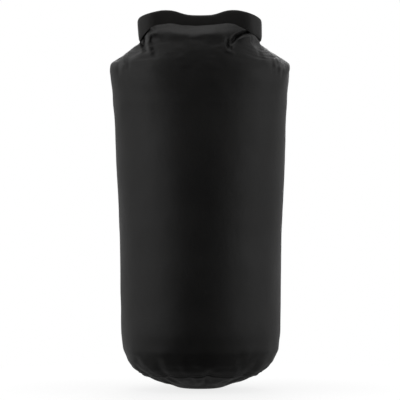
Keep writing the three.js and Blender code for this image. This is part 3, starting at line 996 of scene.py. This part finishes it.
def slab(name, outline, y):
    """An outline in X and Z, drawn round the buckle's middle, as a solid between two depths in Y."""
    n = len(outline)
    points = [(BUCKLE.x + x, BUCKLE.y + depth, BUCKLE.z + z) for depth in y for x, z in outline]
    faces = [tuple(range(n)), tuple(range(2 * n - 1, n - 1, -1))]
    faces += [(i, i + n, (i + 1) % n + n, (i + 1) % n) for i in range(n)]
    piece = make_piece(name, points, faces, acetal, smooth=False)
    shape = bmesh.new()
    shape.from_mesh(piece.data)
    bmesh.ops.remove_doubles(shape, verts=shape.verts, dist=1e-6)
    bmesh.ops.recalc_face_normals(shape, faces=shape.faces)
    shape.to_mesh(piece.data)
    shape.free()
    return piece


def shaped(piece, others, operation="DIFFERENCE"):
    """Cuts the other solids out of a piece, or joins them to it, and removes them."""
    for other in others:
        change = piece.modifiers.new(operation, "BOOLEAN")
        change.operation = operation
        change.object = other
        change.solver = "EXACT"
        finished(piece)
        bpy.data.objects.remove(other)
    return piece


def with_round_edges(piece, width, least_angle):
    """Adds a Bevel on the edges that bend by more than an angle, in degrees."""
    bevel = piece.modifiers.new("edges", "BEVEL")
    bevel.width = width
    bevel.segments = 2
    bevel.limit_method = "ANGLE"
    bevel.angle_limit = math.radians(least_angle)
    return piece


def moulded(piece, edge, replaced, body_name):
    """Rounds the edges of a moulding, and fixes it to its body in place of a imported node."""
    finished(with_round_edges(piece, edge, 38))
    piece.data.shade_smooth()
    piece.data.set_sharp_from_angle(angle=math.radians(32))
    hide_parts(replaced)
    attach(piece, body_name)
    return piece


def around_bar(side, thick):
    """The cutters that leave a bar for the webbing at one end of the buckle. side is -1 or 1."""
    slot_x = on_face(side, HALF_LENGTH - 8.5 * MM, HALF_LENGTH - 3.5 * MM)
    end_x = on_face(side, HALF_LENGTH - 3.5 * MM, HALF_LENGTH + PROUD)
    z = either_side(10.75 * MM)
    return [
        slab("slot", box_outline(slot_x, z), either_side(thick)),
        slab("over_bar", box_outline(end_x, z), (BAR_THICK / 2, thick)),
        slab("under_bar", box_outline(end_x, z), (-thick, -BAR_THICK / 2)),
    ]


# %% Female half
WINDOW = (-11 * MM, 0.8 * MM)


def female_half():
    half = FEMALE_THICK / 2
    inside = either_side(half - WALL)
    shell = rounded_outline(-HALF_LENGTH, MOUTH_X, HALF_HIGH, 3.5 * MM)
    cavity = box_outline((-13 * MM, MOUTH_X + 5 * MM), either_side(HALF_HIGH - WALL))
    middle = (WINDOW[0] + WINDOW[1]) / 2
    cutters = [slab("cavity", cavity, inside)]
    for side in (-1, 1):
        window = box_outline(WINDOW, on_face(side, HALF_HIGH - 2 * WALL, HALF_HIGH + 5 * MM))
        scallop = arc(middle, side * (HALF_HIGH + 4.2 * MM), 7.5 * MM, 0, 352.5, 47)
        dish = arc(-3 * MM, 0, 6.2 * MM, 0, 350, 35)
        cutters.append(slab("window", window, inside))
        cutters.append(slab("scallop", scallop, either_side(2 * half)))
        cutters.append(slab("dish", dish, on_face(side, half - 0.5 * MM, half + PROUD)))
    piece = slab("buckle_housing", shell, either_side(half))
    shaped(piece, cutters + around_bar(-1, FEMALE_THICK))
    ribs = []
    for x in (-13.6 * MM, -11.9 * MM, -10.2 * MM):
        rib = rounded_outline(x, x + 0.9 * MM, 7.5 * MM, 0.44 * MM)
        ribs.append(slab("rib", rib, (half - 0.5 * MM, half + 0.45 * MM)))
    return moulded(shaped(piece, ribs, "UNION"), 0.42 * MM, "buckle_female", "handle")


# %% Male half
HINGE_X, HINGE_Z = 11 * MM, 9.5 * MM
PRONG_THICK = 4.8 * MM


def male_half():
    half = MALE_THICK / 2
    right_through = either_side(2 * half)
    cutters = []
    for side in (-1, 1):
        socket = arc(HINGE_X, side * HINGE_Z, 2 * MM + CLEAR, 0, 345, 23)
        way = box_outline((MOUTH_X - PROUD, HINGE_X), on_face(side, 7 * MM, 11.7 * MM))
        panel = rounded_outline(10.5 * MM, 14 * MM, 5 * MM, 1.2 * MM)
        cutters.append(slab("socket", socket, right_through))
        cutters.append(slab("way", way, right_through))
        cutters.append(slab("panel", panel, on_face(side, half - 0.45 * MM, half + PROUD)))
    plate = rounded_outline(MOUTH_X + CLEAR, HALF_LENGTH, HALF_HIGH, 3.5 * MM)
    piece = slab("buckle_frame", plate, either_side(half))
    shaped(piece, cutters + around_bar(1, MALE_THICK))
    guide_root = MOUTH_X + 2 * MM
    guide = [(guide_root, -2 * MM), (guide_root, 2 * MM)] + arc(-9 * MM, 0, 2 * MM, 90, 270, 10)
    shaped(piece, [slab("guide", guide, either_side(PRONG_THICK / 2))], "UNION")
    return moulded(piece, 0.4 * MM, "buckle_male", "male_half")


# A prong from its root to its tip and back, with the button that sits in the window, in mm.
PRONG_OUTLINE = [
    (11, 8.3), (11, 11.3), (2.2, 11.3), (1.2, 11.5), (0.6, 12.1), (0.4, 12.9), (0.4, 14.2), (0.2, 14.7),
    (-0.4, 14.9), (-4.4, 14.9), (-6.2, 14.5), (-7.9, 13.5), (-9.6, 12.0), (-11, 10.3), (-11.3, 9.3),
    (-10.9, 8.6), (-10, 8.3),
]
GRIPS = 4  # ridges on each button


def prong(name, side, replaced, body_name):
    half = PRONG_THICK / 2
    piece = slab(name, [(x * MM, side * z * MM) for x, z in PRONG_OUTLINE], either_side(half))
    root = arc(HINGE_X, side * HINGE_Z, 2 * MM, 0, 345, 23)
    joined = [slab("root", root, either_side(MALE_THICK / 2 - CLEAR))]
    for k in range(GRIPS):
        x = (-0.9 - 1.2 * k) * MM
        foot, top = side * 14.8 * MM, side * 15.25 * MM
        ridge = [(x, foot), (x - 0.5 * MM, top), (x - 0.9 * MM, foot)]
        joined.append(slab("grip", ridge, either_side(half - 0.5 * MM)))
    return moulded(shaped(piece, joined, "UNION"), 0.25 * MM, replaced, body_name)


buckle_pieces = [
    female_half(),
    male_half(),
    prong("sprung_arm_upper", 1, "prong_upper", "upper_prong"),
    prong("sprung_arm_lower", -1, "prong_lower", "lower_prong"),
]
print("buckle:", {p.name: len(p.data.polygons) for p in buckle_pieces})

# %% Webbing tabs
WEB_THICK = 1.5 * MM
WEB_HALF = 10 * MM


def tab_path():
    """The middle of the webbing's thickness: in from the roll, round the bar and back, in X and Y."""
    reach = BAR_THICK / 2 + CLEAR + WEB_THICK / 2
    bar_x = HALF_LENGTH - 3.5 * MM
    over = [(37, 0.8), (33, 0.82), (30.5, 0.95), (28.5, 1.7), (26.6, 2.6), (25, 3.0)]
    way_in = [(x * MM, y * MM) for x, y in over] + [(bar_x + 1.2 * MM, reach)]
    round_bar = arc(bar_x + 0.4 * MM, 0, reach, 90, 270, 14)
    return way_in + round_bar + [(x, -y) for x, y in reversed(way_in)]


def webbing_tab(name, side, replaced, body_name):
    path = np.array(tab_path())
    run = np.concatenate([[0], np.cumsum(np.hypot(*np.diff(path, axis=0).T))])
    fine_run = np.linspace(0, run[-1], 90)
    px, py = (np.interp(fine_run, run, path[:, i]) for i in range(2))
    across = np.linspace(-WEB_HALF, WEB_HALF, 17)
    points = []
    for x, y in zip(px, py):
        for z in across:
            crown = 0.12 * MM * (1 - (z / WEB_HALF) ** 2) * math.copysign(1, y or 1)
            points.append((BUCKLE.x + side * x, BUCKLE.y + y + crown, BUCKLE.z + z))

    def uv_at(k, j):
        return across[j], fine_run[k]

    piece = thick_strip(name, points, len(across), webbing, uv_at, WEB_THICK, turned_over=True)
    finished(with_round_edges(piece, 0.35 * MM, 50))
    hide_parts(replaced)
    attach(piece, body_name)
    return piece


tabs = [
    webbing_tab("web_left", -1, "webbing_tab_left", "handle"),
    webbing_tab("web_right", 1, "webbing_tab_right", "male_half"),
]
print("webbing in each tab, mm:", [round(t.dimensions.x / MM, 1) for t in tabs])

# %% [markdown]
# ## Stitches
# A machine stitch is a short length of thread that dips into the cloth at both ends. Hundreds of them are
# the same, so Geometry Nodes places them: a route becomes a curve, the curve is cut into equal steps, and
# one stitch is set on each step, turned along the route.


# %% Stitch tool
def stitch_shape():
    """One stitch along X, rounded over and sunk at both ends. It is 1 long, 0.3 wide and 0.3 high."""
    rows, around = 7, 6
    points, faces = [], []
    for k in range(rows):
        t = k / (rows - 1)
        thick = 0.15 * math.sqrt(max(0.05, 1 - (2 * t - 1) ** 4))
        lift = 0.09 * math.sin(math.pi * t) - 0.05
        for i in range(around):
            a = 2 * math.pi * i / around
            points.append((t - 0.5, thick * math.cos(a), lift + thick * math.sin(a)))
    for k in range(rows - 1):
        for i in range(around):
            j = (i + 1) % around
            faces.append((k * around + i, k * around + j, (k + 1) * around + j, (k + 1) * around + i))
    faces += [tuple(range(around))[::-1], tuple((rows - 1) * around + i for i in range(around))]
    mesh = bpy.data.meshes.new("one_stitch")
    mesh.from_pydata(points, [], [f[::-1] for f in faces])
    mesh.shade_smooth()
    return bpy.data.objects.new("one_stitch", mesh)


STITCH_INPUTS = {"Step": "Float", "Stitch length": "Float", "Stitch": "Object", "Thread": "Material"}


def stitch_tree():
    """The tree and the identifiers of its named inputs."""
    tree = bpy.data.node_groups.new("stitches_on_a_route", "GeometryNodeTree")
    face, found = tree.interface, {}
    face.new_socket("Geometry", in_out="INPUT", socket_type="NodeSocketGeometry")
    for title, kind in STITCH_INPUTS.items():
        found[title] = face.new_socket(title, in_out="INPUT", socket_type="NodeSocket" + kind).identifier
    face.new_socket("Geometry", in_out="OUTPUT", socket_type="NodeSocketGeometry")
    nodes = Nodes(tree)
    route = nodes.node("NodeGroupInput")
    curve = nodes.node("GeometryNodeMeshToCurve", {0: route})
    values = {"Curve": curve, "Length": route.output("Step")}
    steps = nodes.node("GeometryNodeCurveToPoints", values, mode="LENGTH")
    out = nodes.node("GeometryNodeInputNamedAttribute", {"Name": "cloth_normal"}, data_type="FLOAT_VECTOR")
    turn = "FunctionNodeAlignRotationToVector"
    along = nodes.node(turn, {"Vector": steps.output("Tangent")}, axis="X")
    turned = nodes.node(turn, {"Rotation": along, "Vector": out}, axis="Z", pivot_axis="X")
    one = nodes.node("GeometryNodeObjectInfo", {"Object": route.output("Stitch")}, output="Geometry")
    values = {"Points": steps, "Instance": one, "Rotation": turned, "Scale": route.output("Stitch length")}
    row = nodes.node("GeometryNodeInstanceOnPoints", values)
    real = nodes.node("GeometryNodeRealizeInstances", {0: row})
    done = nodes.node("GeometryNodeSetMaterial", {"Geometry": real, "Material": route.output("Thread")})
    nodes.node("NodeGroupOutput", {0: done})
    return tree, found


stitch = stitch_shape()
stitch_group, stitch_inputs = stitch_tree()


def stitched(name, routes, step, length):
    """Stitches along routes. A route is a list of points with the cloth's outward direction at each."""
    points, edges, normals = [], [], []
    for route in routes:
        base_index = len(points)
        points += [p for p, _ in route]
        normals += [n for _, n in route]
        edges += [(base_index + i, base_index + i + 1) for i in range(len(route) - 1)]
    mesh = bpy.data.meshes.new(name)
    mesh.from_pydata([tuple(p) for p in points], edges, [])
    layer = mesh.attributes.new("cloth_normal", "FLOAT_VECTOR", "POINT")
    layer.data.foreach_set("vector", np.array(normals, np.float32).ravel())
    piece = in_scene(name, mesh)
    nodes = piece.modifiers.new("stitches", "NODES")
    nodes.node_group = stitch_group
    for title, value in zip(STITCH_INPUTS, (step, length, stitch, thread)):
        nodes[stitch_inputs[title]] = value
    finished(piece)
    return piece


# %% Routes on the cloth
cloth_normals = outward_normals(net)


def on_cloth(row, column, lift):
    """A point on the cloth at a fractional row and column, and the direction out of the cloth there."""
    r, c = int(math.floor(row)), int(math.floor(column))
    fr, fc = row - r, column - c

    def mixed(grid):
        this, above = grid[r], grid[min(r + 1, ROWS - 1)]
        near, far = c % AROUND, (c + 1) % AROUND
        return lerp(lerp(this[near], this[far], fc), lerp(above[near], above[far], fc), fr)

    direction = mixed(cloth_normals)
    direction = direction / max(1e-9, np.linalg.norm(direction))
    return mixed(net) + direction * lift, direction


def ring_route(row, lift):
    return [on_cloth(row, c / 2, lift) for c in range(2 * AROUND + 1)]


def upright_route(column, first_row, last_row, lift):
    return [on_cloth(r / 2, column, lift) for r in range(2 * first_row, 2 * last_row + 1)]


# %% Seams
def ribbon(name, route_of, places, across, thick, closed):
    """A raised ribbon of cloth. route_of(place, offset) gives a point and a direction."""
    points = [route_of(place, offset)[0] for place in places for offset in across]

    def uv_at(k, j):
        return k * 3 * MM, j * 1.5 * MM

    piece = finished(thick_strip(name, points, len(across), body_cloth, uv_at, thick, closed))
    return piece


def rim_of_base(place, offset):
    return on_cloth(SEAM_ROW + offset, place, (0.65 - 0.6 * (offset / WELT_HALF) ** 2) * MM)


def back_fold(place, offset):
    return on_cloth(place, BACK_COLUMN + offset, (0.15 + 0.55 * (1 - offset**4)) * MM)


TOP_ROW = ROWS - 3
WELT_HALF = 0.42  # in rows of the net
STITCH_STEP, STITCH_LONG = 3.4 * MM, 2.7 * MM
round_base = [c / 2 for c in range(2 * AROUND)]
up_back = [r / 2 for r in range(2 * SEAM_ROW + 1, 2 * TOP_ROW)]
welt_across = np.linspace(-WELT_HALF, WELT_HALF, 7)
base_welt = ribbon("base_seam_welt", rim_of_base, round_base, welt_across, 0.5 * MM, closed=True)
back_seam = ribbon("upright_seam", back_fold, up_back, np.linspace(-1, 1, 9), 0.45 * MM, closed=False)
base_route = ring_route(SEAM_ROW + 1.0, 0.1 * MM)
base_stitches = stitched("base_stitches", [base_route], STITCH_STEP, STITCH_LONG)
back_routes = [upright_route(BACK_COLUMN + o, SEAM_ROW + 1, TOP_ROW, 0.75 * MM) for o in (-0.72, 0.72)]
back_stitches = stitched("upright_stitches", back_routes, STITCH_STEP, STITCH_LONG)
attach(base_welt, "bag")
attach(base_stitches, "bag")
drawn_up_by_handle(back_seam)
drawn_up_by_handle(back_stitches)
print("stitches on the seams:", [len(p.data.polygons) for p in (base_stitches, back_stitches)], "faces")


# %% Bartacks
ZIGS = 26


def bartack(name, side, replaced, body_name):
    """Zigzag thread across the two layers of webbing, on the face that looks back."""
    x = BUCKLE.x + side * (HALF_LENGTH + 6.6 * MM)
    y = BUCKLE.y + 0.8 * MM + WEB_THICK / 2 + 0.12 * MM
    facing_back = (0, 1, 0)
    zigzag = []
    for k in range(ZIGS + 1):
        swing = 0.9 * MM if k % 2 else -0.9 * MM
        zigzag.append(((x + swing, y, BUCKLE.z + lerp(-8.5, 8.5, k / ZIGS) * MM), facing_back))
    tack = stitched(name, [zigzag], 1.15 * MM, 1.5 * MM)
    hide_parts(replaced)
    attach(tack, body_name)
    return tack


tacks = [
    bartack("tack_left", -1, "bartack_left", "handle"),
    bartack("tack_right", 1, "bartack_right", "male_half"),
]
print("bartacks:", [t.name for t in tacks])

# %% [markdown]
# ## The studio
# A black bag shows its form by what it reflects. The floor is a sheet of pale paper that fades into a
# white surround, so that no horizon shows. The surround that the camera sees and the light that falls on
# the bag are kept apart: a white dome is there for the camera only. The light comes from a soft world that
# is dim in front, which leaves the bag's middle dark, and brighter behind, which gives the thin pale rims.
# It is dim below too, where the bag stands in its own shade. A large soft box on each side draws the long
# pale bands down the flanks, one above lights the shoulder, and the back gets its own lamp.


# %% Studio
DISC_SIDES = 96


def stage_disc(name, inner, outer, finish):
    """A flat ring on the ground, facing up."""
    turn = np.linspace(0, 2 * math.pi, DISC_SIDES, endpoint=False)
    points = [(r * math.cos(a), r * math.sin(a), 0) for r in (inner, outer) for a in turn]
    faces = []
    for i in range(DISC_SIDES):
        j = (i + 1) % DISC_SIDES
        faces.append((i, i + DISC_SIDES, j + DISC_SIDES, j))
    disc = make_piece(name, points, faces, finish)
    return disc


def camera_only(thing):
    thing.visible_diffuse = thing.visible_glossy = thing.visible_transmission = thing.visible_shadow = False


def paper_finish():
    paper = new_finish("studio_paper", Roughness=0.9, Specular_IOR_Level=0.1, Emission_Strength=1.0)
    x, y, _ = paper.parts(paper.place())
    away = paper.within(paper.math("SQRT", x * x + y * y), 0.12, 0.5)
    glow = paper.blend(away, grey(0.8), grey(1.0))
    return paper.finish(Base_Color=paper.blend(away, grey(0.3), grey(0.0)), Emission_Color=glow)


def white_finish():
    plain = new_finish("studio_white", Roughness=1.0, Specular_IOR_Level=0.0, Emission_Strength=1.0)
    return plain.finish(Base_Color=grey(0.0), Emission_Color=grey(1.0))


paper, white = paper_finish(), white_finish()
near_floor = stage_disc("floor", 0.001, 0.5, paper)
far_floor = stage_disc("far_floor", 0.5, 9.5, white)
dome_mesh = bpy.data.meshes.new("dome")
dome_shape = bmesh.new()
bmesh.ops.create_uvsphere(dome_shape, u_segments=32, v_segments=16, radius=10)
dome_shape.to_mesh(dome_mesh)
dome_shape.free()
dome_mesh.materials.append(white)
dome = in_scene("dome", dome_mesh)
near_floor.visible_diffuse = near_floor.visible_glossy = False
camera_only(far_floor)
camera_only(dome)


def soft_box(name, place, aim, size, power):
    data = bpy.data.lights.new(name, "AREA")
    data.shape = "RECTANGLE"
    data.size, data.size_y = size
    data.energy = power
    lamp = in_scene(name, data)
    lamp.location = place
    lamp.rotation_euler = (Vector(aim) - Vector(place)).to_track_quat("-Z", "Y").to_euler()
    return lamp


middle = (0, 0, centre_z)
soft_box("left_soft_box", (-1.7, -0.75, 0.7), middle, (1.3, 1.6), 5.6)
soft_box("right_soft_box", (1.7, -0.75, 0.6), middle, (1.3, 1.6), 4.5)
soft_box("top_soft_box", (-0.2, -0.1, 1.9), (0, 0, 0.5), (1.0, 0.7), 2.8)
soft_box("back_soft_box", (0.1, 2.2, 0.8), middle, (1.2, 1.4), 13)

world = bpy.data.worlds.new("studio")
bpy.context.scene.world = world
light = Recipe(world)
to_right, to_back, to_top = light.parts(light.place("Generated"))
level = light.math("SQRT", to_right * to_right + to_back * to_back)
facing_back = to_back / light.math("MAXIMUM", level, 0.05)
strength = light.within(facing_back, -0.98, 0.15, 0.1, 0.44) * light.within(to_top, -0.75, 0.1, 0.3, 1.0)
light.finish(Color=grey(1.0), Strength=strength)
bpy.context.scene.view_settings.view_transform = "Standard"
